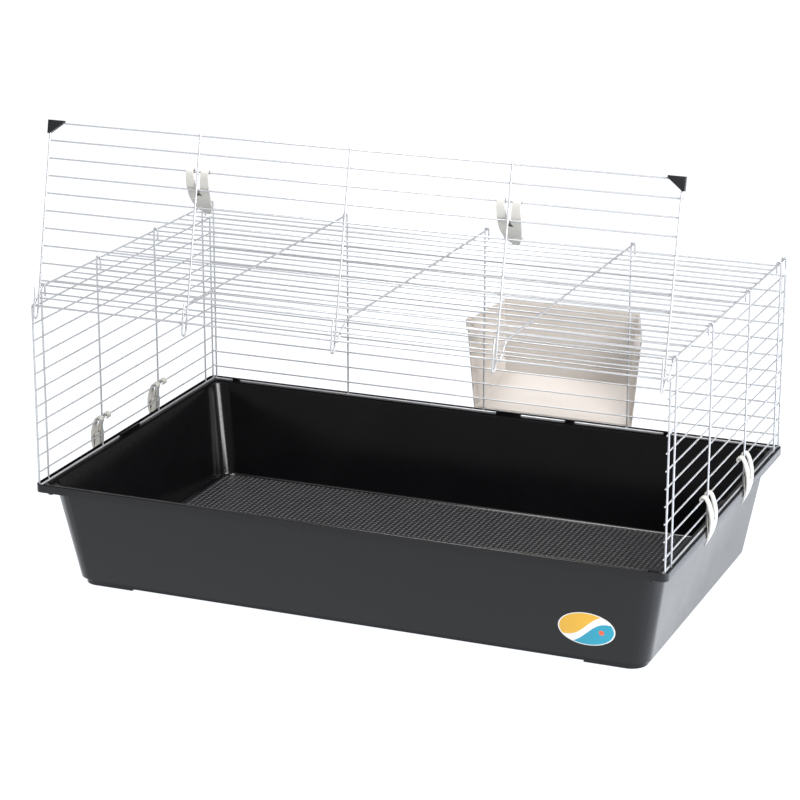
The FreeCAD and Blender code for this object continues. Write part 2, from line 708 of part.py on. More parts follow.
def hay_rack():
    """Hay rack: a hopper open at the top and towards the cage, with two hooks over a back panel rail."""
    body = new_body("hay_rack")
    levels = (
        ("Bottom", "rack_bottom_z", "rack_front_low_half", "rack_base_half", "rack_base_depth"),
        ("Toe", "rack_toe_z", "rack_front_toe_half", "rack_toe_half", "rack_toe_depth"),
        ("Knee", "rack_knee_z", "rack_front_knee_half", "rack_knee_half", "rack_knee_depth"),
        ("Top", "rack_back_top_z", "rack_front_brim_half", "rack_back_half", "rack_back_depth"),
    )
    # how far the hollow runs out in front of the rack, so that the front stays open
    front_cut = 5

    def section(name, height, front_half, back_half, front, back):
        sketch = sketch_on(body, name, "XY_Plane", height)
        outline(sketch, [(f"-({front_half})", front), (front_half, front),
                         (back_half, back), (f"-({back_half})", back)])
        return sketch

    loft(body, "Additive", [section(name, z, front, back, "rack_front", f"rack_front + {depth}")
                            for name, z, front, back, depth in levels])
    hollow = []
    for name, z, front, back, depth in levels:
        lift = {"Bottom": "rack_wall", "Toe": "rack_wall * 0.8", "Top": "0.5"}.get(name, "0")
        spread = min(front_cut / number(depth), 1)
        front_half = f"{front} - rack_wall + ({front} - {back}) * {spread:.3f}"
        hollow.append(section(f"Hollow{name}", f"{z} + {lift}", front_half, f"{back} - rack_wall",
                              f"rack_front - {front_cut}", f"rack_front + {depth} - rack_wall"))
    loft(body, "Subtractive", hollow)
    brim = sketch_on(body, "Brim", "YZ_Plane")
    outline(brim, [
        ("rack_front - 6", "rack_front_top_z - 1"),
        ("rack_front", "rack_front_top_z"),
        ("rack_back + 1", "rack_back_top_z"),
        ("rack_back + 1", "rack_back_top_z + 2"),
        ("rack_front - 6", "rack_back_top_z + 2"),
    ])
    extrude(body, "Pocket", brim, "4 * rack_front_top_half", both_ways=True)
    rail_z = "(top_rail_z - rack_hook_rail * rail_pitch)"
    rail_top = f"{rail_z} + rail_dia / 2 + 0.4"
    leg_y = "back_rail_y - rail_dia / 2 - 0.5"
    for side, sign in (("Left", -1), ("Right", 1)):
        hook = sketch_on(body, f"Hook{side}", "YZ_Plane", f"{sign} * (rack_front_top_half - rack_hook_inset)")
        outline(hook, [
            ("rack_front + 5", f"{rail_top} + rack_hook_plate"),
            ("rack_front + 5", "rack_front_top_z - 10"),
            ("rack_front", "rack_front_top_z - 10"),
            ("rack_front", rail_top),
            (leg_y, rail_top),
            (leg_y, f"{rail_z} - rack_hook_drop"),
            (f"{leg_y} - rack_hook_plate", f"{rail_z} - rack_hook_drop"),
            (f"{leg_y} - rack_hook_plate", f"{rail_top} + rack_hook_plate"),
        ])
        extrude(body, "Pad", hook, "rack_hook_width", both_ways=True)
    finish_node(body, "hay_rack", ("rack_x", "0", "0"))


def oval_label():
    """A thin oval label on the sloping front wall."""
    oval = doc.addObject("Part::Ellipse", "LabelOutline")
    bind(oval, "MajorRadius", "label_length / 2")
    bind(oval, "MinorRadius", "label_height / 2")
    label = doc.addObject("Part::Extrusion", "OvalLabel")
    label.Base = oval
    label.DirMode = "Custom"
    label.Dir = UP
    label.Solid = True
    bind(label, "LengthFwd", "label_thickness")
    slope = math.degrees(math.atan(number("wall_slope_y")))
    turn = Rotation(Vector(1, 0, 0), 90 + slope)
    wall_y = "-half_width + tub_low_inset_y - (label_z - tub_under) * wall_slope_y"
    finish_node(label, "oval_label", ("label_x", f"{wall_y} - 0.02", "label_z"), turn)


tray()
side_panel("Left", -1)
side_panel("Right", 1)
back_panel()
roof()
door_wires()
corner_caps()
clips()
hay_rack()
oval_label()
doc.recompute()

for thing in doc.Objects:
    if "Invalid" in thing.State or "Error" in thing.State:
        raise RuntimeError(f"{thing.Label} is {thing.State}")

os.makedirs("parts", exist_ok=True)
for thing in nodes:
    if thing.Shape.isNull() or not thing.Shape.isValid():
        raise RuntimeError(f"{thing.Label} has no valid shape")
    thing.Shape.exportStep(f"parts/{thing.Label}.step")
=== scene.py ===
import json
import math

import bmesh
import bpy
from mathutils import Matrix, Vector


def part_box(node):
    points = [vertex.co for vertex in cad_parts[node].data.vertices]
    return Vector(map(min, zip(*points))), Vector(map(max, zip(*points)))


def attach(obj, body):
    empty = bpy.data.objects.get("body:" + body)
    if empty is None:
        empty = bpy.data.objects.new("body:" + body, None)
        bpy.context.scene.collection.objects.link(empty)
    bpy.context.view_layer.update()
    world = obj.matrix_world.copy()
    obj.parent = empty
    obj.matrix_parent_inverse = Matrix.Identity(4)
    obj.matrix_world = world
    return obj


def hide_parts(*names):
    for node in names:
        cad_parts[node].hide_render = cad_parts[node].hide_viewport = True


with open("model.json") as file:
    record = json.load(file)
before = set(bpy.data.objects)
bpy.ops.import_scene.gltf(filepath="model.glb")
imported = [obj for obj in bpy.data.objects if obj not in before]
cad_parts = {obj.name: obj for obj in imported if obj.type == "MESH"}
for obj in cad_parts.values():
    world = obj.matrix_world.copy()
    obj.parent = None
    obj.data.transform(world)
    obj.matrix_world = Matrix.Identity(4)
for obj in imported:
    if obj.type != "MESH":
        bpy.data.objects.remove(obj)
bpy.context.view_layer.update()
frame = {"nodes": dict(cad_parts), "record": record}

# Wire-top rabbit cage. Metres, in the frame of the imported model. The wires are rebuilt round and smooth on
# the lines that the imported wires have, the moulded pieces get rounded edges, and each surface its finish.

MM = 0.001
WELD_DISTANCE = 0.001 * MM
SAME_PLACE = 0.1 * MM

# Wires: diameters, the bends of the roof and door, and the gap that keeps a round wire inside the CAD box.
UPRIGHT_DIA = 2.8 * MM
RAIL_DIA = 2.2 * MM
BASE_DIA = 3.0 * MM
WIRE_SIDES = 14
DOOR_LEAN = math.radians(12.4)
CHAMFER_ANGLE = math.radians(39.4)
CHAMFER_BEND = 4 * MM
MARGIN = 0.005 * MM
BEAD_HALF_SIZES = (1.35 * MM, 1.35 * MM, 0.55 * MM)
BEAD_PLACE = 0.54  # share of the way from an upright's line to the line of the wire that crosses it
WIRE_END = ((0.0, 0.6), (0.18, 0.88), (0.5, 1.0))  # depth and width of a rounded cut end, in wire radii
LEG_REACH = 1.05  # how far from a leg's line its own points lie, in wire radii
PARALLEL = 1e-12  # two stretches whose cross product squared is below this never meet

TRAY_LOW, TRAY_HIGH = (Vector(corner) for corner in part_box("base_tray"))
TRAY_Y = (TRAY_LOW.y + TRAY_HIGH.y) / 2
JOINTS = {joint["name"]: joint for joint in frame["record"]["behaviour"]["joints"]}
DOOR_HINGE = Vector(JOINTS["door_hinge"]["pos_m"])
BODY_OF = {node: body for body, held in frame["record"]["behaviour"]["bodies"].items() for node in held}


# ---------------------------------------------------------------- materials

class Nodes:
    """A short way to write a material's node tree."""

    def __init__(self, name):
        self.material = bpy.data.materials.new(name)
        self.material.use_nodes = True
        self.tree = self.material.node_tree
        self.shader = self.tree.nodes["Principled BSDF"]

    def add(self, kind, values=None, **settings):
        """A new node, with its settings, and its inputs set or linked."""
        node = self.tree.nodes.new(kind)
        for key, value in settings.items():
            setattr(node, key, value)
        for key, value in (values or {}).items():
            if isinstance(value, bpy.types.NodeSocket):
                self.tree.links.new(value, node.inputs[key])
            else:
                node.inputs[key].default_value = value
        return node

    def finish(self, **values):
        """Set or link the shader's inputs and give the material. An underscore stands for a space."""
        for key, value in values.items():
            socket = self.shader.inputs[key.replace("_", " ")]
            if isinstance(value, bpy.types.NodeSocket):
                self.tree.links.new(value, socket)
            else:
                socket.default_value = value
        return self.material

    def math(self, operation, first, second=0.0):
        """One arithmetic step on numbers or sockets."""
        return self.add("ShaderNodeMath", {0: first, 1: second}, operation=operation).outputs[0]

    def place(self):
        """The point's place on the object, in metres."""
        return self.add("ShaderNodeTexCoord").outputs["Object"]

    def noise(self, scale, detail=2.0, roughness=0.5, stretch=None):
        """Smooth noise in the object's own space, stretched along an axis where stretch is below 1."""
        place = self.place()
        if stretch:
            place = self.add("ShaderNodeMapping", {"Vector": place, "Scale": stretch}).outputs[0]
        values = {"Vector": place, "Scale": scale, "Detail": detail, "Roughness": roughness}
        return self.add("ShaderNodeTexNoise", values).outputs["Fac"]

    def between(self, amount, low, high):
        """A number that goes from low to high as amount goes from 0 to 1."""
        return self.add("ShaderNodeMapRange", {"Value": amount, "To Min": low, "To Max": high}).outputs[0]

    def colours(self, amount, first, second):
        """A colour that goes from first to second as amount goes from 0 to 1. Either may be a socket."""
        node = self.add("ShaderNodeMix", data_type="RGBA")
        self.tree.links.new(amount, node.inputs["Factor"])
        for socket, colour in zip([s for s in node.inputs if s.type == "RGBA"], (first, second)):
            if isinstance(colour, bpy.types.NodeSocket):
                self.tree.links.new(colour, socket)
            else:
                socket.default_value = (*colour, 1)
        return next(s for s in node.outputs if s.type == "RGBA")

    def bump(self, height, distance, strength):
        """Small raised marks where height is high."""
        values = {"Height": height, "Distance": distance, "Strength": strength}
        return self.add("ShaderNodeBump", values).outputs[0]


def enamel():
    """Pale grey enamel baked on steel wire, a little uneven where it ran."""
    n = Nodes("wire_enamel")
    drift = n.noise(9, 3)
    runs = n.noise(500, 2)
    return n.finish(
        Base_Color=n.colours(drift, (0.46, 0.465, 0.48), (0.54, 0.545, 0.56)),
        Metallic=0.4,
        Roughness=n.between(runs, 0.24, 0.36),
        Coat_Weight=0.3,
        Coat_Roughness=0.15,
        Normal=n.bump(runs, 0.06 * MM, 0.6),
    )


def moulded_black(name, tones, low, high):
    """Black polypropylene with a fine spark-eroded grain and faint marks of handling."""
    n = Nodes(name)
    grain = n.noise(2600, 3, 0.6)
    handling = n.noise(14, 5, 0.62)
    return n.finish(
        Base_Color=n.colours(handling, *tones),
        Specular_IOR_Level=0.38,
        Roughness=n.between(handling, low, high),
        Normal=n.bump(grain, 0.04 * MM, 0.4),
    )


def clip_plastic():
    """Warm grey acetal, satin, with faint flow marks along its length."""
    n = Nodes("clip_plastic")
    flow = n.noise(60, 3, 0.5, stretch=(1, 1, 0.15))
    grain = n.noise(3200, 2)
    return n.finish(
        Base_Color=n.colours(flow, (0.48, 0.465, 0.43), (0.58, 0.565, 0.53)),
        Roughness=n.between(flow, 0.34, 0.44),
        Subsurface_Weight=0.08,
        Subsurface_Radius=(2 * MM, 1.6 * MM, 1.2 * MM),
        Normal=n.bump(grain, 0.03 * MM, 0.5),
    )


def rack_plastic():
    """Cloudy beige polypropylene: light scatters in its thin walls, and the mould's flow shows."""
    n = Nodes("rack_plastic")
    cloud = n.noise(16, 4, 0.55)
    grain = n.noise(1800, 2)
    return n.finish(
        Base_Color=n.colours(cloud, (0.60, 0.54, 0.49), (0.67, 0.625, 0.585)),
        Roughness=n.between(cloud, 0.34, 0.46),
        Transmission_Weight=0.2,
        IOR=1.45,
        Subsurface_Weight=0.25,
        Subsurface_Radius=(9 * MM, 7 * MM, 5 * MM),
        Normal=n.bump(grain, 0.05 * MM, 0.4),
    )


# The label's pattern, in half widths across and half heights up from its middle.
SWEEP_WAVES, SWEEP_SWELL = 3.6, 0.22
SWEEP_SLOPE, SWEEP_DROP = 0.75, 0.02
SWEEP_HALF_HEIGHT = 0.22
DOT_PLACE, DOT_SQUEEZE, DOT_RADIUS = (0.52, -0.12), 1.6, 0.15
BORDER_START = 0.955


def label_film():
    """Glossy printed film: a white border and sweep between teal and amber, and one coral dot."""
    low, high = (Vector(corner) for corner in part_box("oval_label"))
    middle = (low + high) / 2
    n = Nodes("label_film")
    axes = n.add("ShaderNodeSeparateXYZ", {"Vector": n.place()}).outputs
    across = n.math("DIVIDE", n.math("SUBTRACT", axes["X"], middle.x), (high.x - low.x) / 2)
    up = n.math("DIVIDE", n.math("SUBTRACT", axes["Z"], middle.z), (high.z - low.z) / 2)

    def distance(x, z, x_scale=1.0):
        """How far the point is from a place on the label, in half widths and half heights."""
        dx = n.math("MULTIPLY", n.math("SUBTRACT", across, x), x_scale)
        dz = n.math("SUBTRACT", up, z)
        return n.math("SQRT", n.math("ADD", n.math("MULTIPLY", dx, dx), n.math("MULTIPLY", dz, dz)))

    swell = n.math("MULTIPLY", n.math("SINE", n.math("MULTIPLY", across, SWEEP_WAVES)), SWEEP_SWELL)
    tilt = n.math("SUBTRACT", n.math("MULTIPLY", across, SWEEP_SLOPE), SWEEP_DROP)
    height = n.math("SUBTRACT", n.math("SUBTRACT", up, swell), tilt)
    teal, amber, white, coral = (0.0, 0.31, 0.45), (0.80, 0.44, 0.02), (0.83, 0.83, 0.82), (0.80, 0.10, 0.03)
    colour = n.colours(n.math("GREATER_THAN", height, 0.0), teal, amber)
    colour = n.colours(n.math("LESS_THAN", n.math("ABSOLUTE", height), SWEEP_HALF_HEIGHT), colour, white)
    colour = n.colours(n.math("LESS_THAN", distance(*DOT_PLACE, DOT_SQUEEZE), DOT_RADIUS), colour, coral)
    colour = n.colours(n.math("GREATER_THAN", distance(0, 0), BORDER_START), colour, white)
    return n.finish(Base_Color=colour, Roughness=n.between(n.noise(300), 0.16, 0.24), Coat_Weight=0.5,
                    Normal=n.bump(n.noise(90), 0.04 * MM, 0.5))


TRAY_TONES = (0.0024, 0.0021, 0.0026), (0.0044, 0.0041, 0.0048)
# The floor's bosses are the tray's own black plastic, coloured much lighter here: a painted highlight where
# light catches their tops.
BOSS_PAINTED_HIGHLIGHT_TONES = (0.042, 0.042, 0.045), (0.056, 0.056, 0.059)
# The corner caps' own dark tone, also used for the floor between the bosses, where being darker than the
# bosses is painted shade in the gaps.
CAP_AND_SHADED_GROOVE_TONES = (0.008, 0.008, 0.009), (0.013, 0.013, 0.014)
MATERIALS = {
    "wire_enamel": enamel(),
    "tray_plastic": moulded_black("tray_plastic", TRAY_TONES, 0.12, 0.19),
    "cap_plastic": moulded_black("cap_plastic", CAP_AND_SHADED_GROOVE_TONES, 0.32, 0.42),
    "clip_plastic": clip_plastic(),
    "rack_plastic": rack_plastic(),
    "label_film": label_film(),
}
# A lighter copy of the tray's plastic for the bosses: painted highlight.
BOSS_PAINTED_HIGHLIGHT_MATERIAL = moulded_black("boss_plastic_painted_highlight", BOSS_PAINTED_HIGHLIGHT_TONES, 0.34, 0.44)
# A darker copy of the plastic for the floor between the bosses: painted shade.
SHADED_GROOVE_MATERIAL = moulded_black("groove_plastic_painted_shade", CAP_AND_SHADED_GROOVE_TONES, 0.34, 0.44)
SLOT_OF = {part["node"]: part["material_slot"] for part in frame["record"]["subparts"]}


# ---------------------------------------------------------------- pieces

def add_piece(name, mesh, nodes, body, slot):
    """A new object that stands for CAD nodes, or only decorates one if nodes is empty."""
    piece = bpy.data.objects.new(name, mesh)
    bpy.context.scene.collection.objects.link(piece)
    if not mesh.materials:
        mesh.materials.append(MATERIALS[slot])
    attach(piece, body)
    if nodes:
        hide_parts(*nodes)
    return piece


def welded_mesh(node):
    """The CAD node's surface with its doubled vertices joined."""
    mesh = bmesh.new()
    mesh.from_mesh(frame["nodes"][node].data)
    bmesh.ops.remove_doubles(mesh, verts=mesh.verts, dist=WELD_DISTANCE)
    return mesh


def separate_solids(node):
    """The points of each separate solid in a CAD node."""
    mesh = welded_mesh(node)
    unseen, solids = set(mesh.verts), []
    while unseen:
        frontier, points = [unseen.pop()], []
        while frontier:
            vertex = frontier.pop()
            points.append(vertex.co.copy())
            for edge in vertex.link_edges:
                other = edge.other_vert(vertex)
                if other in unseen:
                    unseen.remove(other)
                    frontier.append(other)
        solids.append(points)
    mesh.free()
    return solids


def extent(points, axis):
    """The lowest and highest value of the points along an axis."""
    values = [point[axis] for point in points]
    return min(values), max(values)


def sweep(mesh, path, radius):
    """A round wire along a path, with softly rounded cut ends."""
    tangents = [(b - a).normalized() for a, b in zip(path, path[1:])]
    ways = [tangents[0]] + [(a + b).normalized() for a, b in zip(tangents, tangents[1:])] + [tangents[-1]]
    stations = [(path[0] + ways[0] * depth * radius, ways[0], width * radius) for depth, width in WIRE_END]
    stations += [(point, way, radius) for point, way in zip(path[1:-1], ways[1:-1])]
    stations += [(path[-1] - ways[-1] * depth * radius, ways[-1], width * radius)
                 for depth, width in reversed(WIRE_END)]
    side = ways[0].orthogonal().normalized()
    rings = []
    for centre, way, size in stations:
        side = (side - way * side.dot(way)).normalized()
        other = way.cross(side)
        turns = (2 * math.pi * i / WIRE_SIDES for i in range(WIRE_SIDES))
        ring = [centre + (side * math.cos(t) + other * math.sin(t)) * size for t in turns]
        rings.append([mesh.verts.new(point) for point in ring])
    for first, second in zip(rings, rings[1:]):
        for i in range(WIRE_SIDES):
            after = (i + 1) % WIRE_SIDES
            mesh.faces.new((first[i], first[after], second[after], second[i]))
    mesh.faces.new(reversed(rings[0]))
    mesh.faces.new(rings[-1])


def arc(centre, start, end_way, angle, steps=12):
    """Points of a round bend about a centre, from start towards the direction end_way, ends included."""
    first = start - centre
    second = end_way.normalized() * first.length
    turns = (angle * i / steps for i in range(steps + 1))
    return [centre + first * math.cos(turn) + second * math.sin(turn) for turn in turns]


def straight_path(points, radius):
    """The centre line of a straight wire that lies along an axis. Its radius isn't needed."""
    extents = [extent(points, axis) for axis in range(3)]
    along = max(range(3), key=lambda axis: extents[axis][1] - extents[axis][0])
    ends = []
    for end in range(2):
        centre = Vector([(low + high) / 2 for low, high in extents])
        centre[along] = extents[along][end]
        ends.append(centre)
    return ends


def hook_path(points, radius):
    """The centre line of an upright that stands in a plane of constant y and bends over at its top."""
    (x0, x1), (y0, y1), (z0, z1) = (extent(points, axis) for axis in range(3))
    foot = [point.x for point in points if point.z < z0 + MM]
    lines = sorted((x0 + radius, x1 - radius), key=lambda x: abs(x - sum(foot) / len(foot)))
    bend_radius = abs(lines[1] - lines[0]) / 2
    y, bend_z = (y0 + y1) / 2, z1 - radius - bend_radius
    leg_end = min(point.z for point in points if abs(point.x - lines[1]) < radius * LEG_REACH)
    centre = Vector(((lines[0] + lines[1]) / 2, y, bend_z))
    over = arc(centre, Vector((lines[0], y, bend_z)), Vector((0, 0, 1)), math.pi)
    return [Vector((lines[0], y, z0)), *over, Vector((lines[1], y, leg_end))]


def door_upright_path(points, radius):
    """The centre line of a door upright and its long loop, found with the door stood plumb over its hinge."""
    stand = Matrix.Rotation(DOOR_LEAN, 3, "X")
    plumb = [stand @ (point - DOOR_HINGE) for point in points]
    (x0, x1), (y0, y1), (z0, z1) = (extent(plumb, axis) for axis in range(3))
    front, rear = y0 + radius, y1 - radius
    bend_radius = (rear - front) / 2
    x, bend_z = (x0 + x1) / 2, z0 + radius + bend_radius
    leg_end = max(point.z for point in plumb if point.y < front + radius * LEG_REACH)
    centre = Vector((x, (front + rear) / 2, bend_z))
    under = arc(centre, Vector((x, rear, bend_z)), Vector((0, 0, -1)), math.pi)
    path = [Vector((x, rear, z1)), *under, Vector((x, front, leg_end))]
    back = stand.inverted()
    return [back @ point + DOOR_HINGE for point in path]


def cross_wire_path(points, radius):
    """The centre line of a roof cross wire: level, then down the chamfer."""
    x = sum(extent(points, 0)) / 2
    rear, level = extent(points, 1)[1], extent(points, 2)[1] - radius
    down = Vector((0, -math.cos(CHAMFER_ANGLE), -math.sin(CHAMFER_ANGLE)))
    far = max(point.dot(down) for point in points)
    last = [point for point in points if point.dot(down) > far - SAME_PLACE]
    end = Vector((x, sum(p.y for p in last) / len(last), sum(p.z for p in last) / len(last)))
    corner_y = end.y + (level - end.z) / math.tan(CHAMFER_ANGLE)
    tangent = CHAMFER_BEND * math.tan(CHAMFER_ANGLE / 2)
    start = Vector((x, corner_y + tangent, level))
    bent = arc(start - Vector((0, 0, CHAMFER_BEND)), start, Vector((0, -1, 0)), CHAMFER_ANGLE, steps=5)
    return [Vector((x, rear, level)), *bent, end]


WIRE_NODES = {}
for side in ("left", "right"):
    WIRE_NODES[f"{side}_panel_hooked_uprights"] = (UPRIGHT_DIA, hook_path)
    WIRE_NODES[f"{side}_panel_end_uprights"] = (UPRIGHT_DIA, straight_path)
    WIRE_NODES[f"{side}_panel_rails"] = (RAIL_DIA, straight_path)
    WIRE_NODES[f"{side}_panel_base_wire"] = (BASE_DIA, straight_path)
WIRE_NODES |= {
    "back_panel_hooked_uprights": (UPRIGHT_DIA, hook_path),
    "back_panel_rails": (RAIL_DIA, straight_path),
    "back_panel_base_wire": (BASE_DIA, straight_path),
    "roof_cross_wires": (UPRIGHT_DIA, cross_wire_path),
    "roof_long_wires": (RAIL_DIA, straight_path),
    "roof_front_wire": (RAIL_DIA, straight_path),
    "door_hinge_wire": (UPRIGHT_DIA, straight_path),
    "door_uprights": (UPRIGHT_DIA, door_upright_path),
    "door_rails": (RAIL_DIA, straight_path),
}
PATHS = {node: [line(points, diameter / 2) for points in separate_solids(node)]
         for node, (diameter, line) in WIRE_NODES.items()}


def smooth(mesh):
    """Shade all faces of a mesh smooth."""
    for face in mesh.polygons:
        face.use_smooth = True


def build_wires():
    """Every wire of the cage again, round, one piece for each CAD node."""
    for node, paths in PATHS.items():
        mesh = bmesh.new()
        for path in paths:
            sweep(mesh, path, WIRE_NODES[node][0] / 2 - MARGIN)
        data = bpy.data.meshes.new(f"{node}_wire")
        mesh.to_mesh(data)
        mesh.free()
        smooth(data)
        add_piece(f"{node}_wire", data, [node], BODY_OF[node], "wire_enamel")


def nearest_points(a, b, c, d):
    """The nearest points of the lines a-b and c-d, or None where either lies outside its stretch."""
    u, v, w = b - a, d - c, a - c
    uu, uv, vv, uw, vw = u.dot(u), u.dot(v), v.dot(v), u.dot(w), v.dot(w)
    cross = uu * vv - uv * uv
    if cross < PARALLEL:
        return None
    s, t = (uv * vw - vv * uw) / cross, (uu * vw - uv * uw) / cross
    if not (0 <= s <= 1 and 0 <= t <= 1):
        return None
    return a + u * s, c + v * t


def build_welds(name, body, uprights, crossings):
    """The small flattened beads where the wires of a panel are resistance-welded, under the enamel."""
    mesh = bmesh.new()
    for first in (path for node in uprights for path in PATHS[node]):
        for second in (path for node in crossings for path in PATHS[node]):
            for a, b in zip(first, first[1:]):
                near = nearest_points(a, b, second[0], second[-1])
                if near is None or (near[0] - near[1]).length > UPRIGHT_DIA:
                    continue
                gap = near[1] - near[0]
                turn = gap.to_track_quat("Z", "X").to_matrix().to_4x4()
                middle = Matrix.Translation(near[0] + gap * BEAD_PLACE)
                shape = Matrix.Diagonal((*BEAD_HALF_SIZES, 1))
                bead = middle @ turn @ shape
                bmesh.ops.create_uvsphere(mesh, u_segments=10, v_segments=6, radius=1, matrix=bead)
    data = bpy.data.meshes.new(name)
    mesh.to_mesh(data)
    mesh.free()
    smooth(data)
    add_piece(name, data, [], body, "wire_enamel")


FLAT_ANGLE = math.radians(1.5)
UPWARDS = 0.99
ROUND_SEGMENTS = 3


def softened(node, width, embossed_z=None):
    """A moulded piece with the CAD node's shape, flat faces whole and its sharp edges rounded.

    Faces that lie at the height embossed_z, the floor between the bosses, get a rougher material coloured
    darker than the bosses: painted shade in the gaps.
    """
    mesh = welded_mesh(node)
    bmesh.ops.dissolve_limit(mesh, angle_limit=FLAT_ANGLE, verts=mesh.verts, edges=mesh.edges)
    data = bpy.data.meshes.new(f"{node}_moulded")
    data.materials.append(MATERIALS[SLOT_OF[node]])
    if embossed_z is not None:
        data.materials.append(SHADED_GROOVE_MATERIAL)
        for face in mesh.faces:
            # Material 1 colours the floor between the bosses darker than them, as painted shade.
            level = abs(face.calc_center_median().z - embossed_z) < SAME_PLACE
            face.material_index = int(level and face.normal.z > UPWARDS)
    mesh.to_mesh(data)
    mesh.free()
    smooth(data)
    rounded(add_piece(f"{node}_moulded", data, [node], BODY_OF[node], SLOT_OF[node]), width)


def rounded(piece, width, angle=30):
    """Round a piece's edges that are sharper than an angle in degrees."""
    edges = piece.modifiers.new("rounded_edges", "BEVEL")
    edges.width = width
    edges.segments = ROUND_SEGMENTS
    edges.limit_method = "ANGLE"
    edges.angle_limit = math.radians(angle)
    edges.harden_normals = True


# ---------------------------------------------------------------- the tray's embossed floor

FLOOR_Z = 13 * MM
BOSS_PITCH = (8.3 * MM, 7.8 * MM)
BOSS_SIZE = (3.6 * MM, 2.7 * MM)
BOSS_RISE = 0.8 * MM
BOSS_SKEW = 0.18
BOSS_CORNERS = 6
BOSS_RINGS = ((1.0, -0.1), (0.72, 0.85))
FLOOR_HALF = (429 * MM, 243 * MM)
FLOOR_CORNER = 20 * MM


def build_floor_bosses():
    """Columns of small raised lozenges that keep the litter off the tray's floor."""
    mesh = bmesh.new()
    turns = [2 * math.pi * i / BOSS_CORNERS for i in range(BOSS_CORNERS)]
    outline = [(math.cos(t), math.sin(t) + BOSS_SKEW * math.cos(t)) for t in turns]
    counts = [int(half / pitch) for half, pitch in zip(FLOOR_HALF, BOSS_PITCH)]
    for column in range(-counts[0], counts[0] + 1):
        for row in range(-counts[1], counts[1] + 1):
            x, y = column * BOSS_PITCH[0], row * BOSS_PITCH[1]
            past = [abs(v) - (half - FLOOR_CORNER) for v, half in zip((x, y), FLOOR_HALF)]
            if min(past) > 0 and math.hypot(*past) > FLOOR_CORNER:
                continue
            lower, upper = ([mesh.verts.new((x + BOSS_SIZE[0] * size * across,
                                             TRAY_Y + y + BOSS_SIZE[1] * size * along,
                                             FLOOR_Z + BOSS_RISE * height)) for across, along in outline]
                            for size, height in BOSS_RINGS)
            for i in range(BOSS_CORNERS):
                after = (i + 1) % BOSS_CORNERS
                mesh.faces.new((lower[i], lower[after], upper[after], upper[i]))
            mesh.faces.new(upper)
    data = bpy.data.meshes.new("tray_floor_bosses")
    mesh.to_mesh(data)
    mesh.free()
    smooth(data)
    # Coloured lighter than the tray around them: a painted highlight on the bosses' tops.
    data.materials.append(BOSS_PAINTED_HIGHLIGHT_MATERIAL)
    add_piece("tray_floor_bosses", data, [], "cage", "tray_plastic")


# ---------------------------------------------------------------- clips

# How far the door clips are folded back at rest.
CLIP_REST = math.radians(143)

# A clip in millimetres, drawn hanging down: x is away from its panel and z is up from the rail it turns on.
CLIP_PATH = (
    # x, z, half width, half width of the fork
    (-1.3, -3.6, 15.6, 6.8), (-3.0, -2.2, 16.2, 6.8), (-3.7, 0.0, 16.6, 6.7), (-3.0, 2.2, 16.8, 6.6),
    (-0.9, 3.6, 16.9, 6.5), (1.8, 3.5, 16.9, 6.3), (4.3, 1.4, 16.9, 6.0), (6.6, -2.8, 16.9, 5.3),
    (8.5, -8.0, 16.9, 4.5), (10.2, -14.0, 16.9, 3.8), (11.4, -20.0, 16.8, 3.0), (12.0, -26.0, 16.6, 1.7),
    (12.2, -32.0, 16.2, 0.0), (11.9, -38.0, 15.5, 0.0), (11.0, -44.0, 14.4, 0.0), (9.6, -50.0, 12.9, 0.0),
    (7.7, -55.8, 11.0, 0.0), (5.4, -61.2, 8.8, 0.0), (3.0, -66.0, 6.4, 0.0), (1.1, -69.6, 4.0, 0.0),
    (0.2, -71.2, 2.4, 0.0),
)
CLIP_SHEET = 2.4
LEAF_PATH = ((7.9, -24), (7.2, -30), (7.3, -37), (8.2, -42.5), (8.3, -48), (8.3, -54), (7.5, -56.0),
             (5.6, -56.6), (3.8, -56.7))
LEAF_HALF = 13.5
LEAF_SHEET = 1.3
LEAF_CELLS = 6
FORK_CELLS = (2, 3)
WEB = ((5.6, -4.5), (7.6, -8.2), (9.3, -14.2), (10.4, -20.2), (11.0, -26), (11.2, -32), (10.9, -38),
       (10.0, -44), (8.9, -48.5), (8.9, -42), (8.0, -37), (8.0, -30), (7.4, -22), (5.6, -12))
WEB_PLACES = (-8.6, 8.6)
WEB_HALF = 0.8
CLIP_ROUND = 0.35 * MM
CLIP_ROUND_ANGLE = 40
SOLID_INNER_SHARE = 0.3


def ribbon(mesh, path, thickness, columns_at, open_at=lambda row, column: False):
    """A bent strip of a given thickness. columns_at gives each row's places across it, open_at its holes."""
    ways = [(b - a).normalized() for a, b in zip(path, path[1:])]
    ways = [ways[0]] + [(a + b).normalized() for a, b in zip(ways, ways[1:])] + [ways[-1]]
    layers = []
    for face in (-0.5, 0.5):
        rows = []
        for row, (point, way) in enumerate(zip(path, ways)):
            out = Vector((-way.y, way.x)) * thickness * face
            rows.append([mesh.verts.new((point.x + out.x, y, point.y + out.y)) for y in columns_at(row)])
        layers.append(rows)
    cells = {(row, column) for row in range(len(path) - 1) for column in range(len(layers[0][0]) - 1)
             if not open_at(row, column)}
    for row, column in cells:
        corners = ((row, column), (row, column + 1), (row + 1, column + 1), (row + 1, column))
        for layer, order in ((0, 1), (1, -1)):
            mesh.faces.new([layers[layer][r][c] for r, c in corners][::order])
        beside = ((row - 1, column), (row, column + 1), (row + 1, column), (row, column - 1))
        for i, neighbour in enumerate(beside):
            if neighbour not in cells:
                (r0, c0), (r1, c1) = corners[i], corners[(i + 1) % 4]
                mesh.faces.new((layers[0][r1][c1], layers[0][r0][c0], layers[1][r0][c0], layers[1][r1][c1]))
    loose = [vertex for rows in layers for row in rows for vertex in row if not vertex.link_faces]
    bmesh.ops.delete(mesh, geom=loose, context="VERTS")


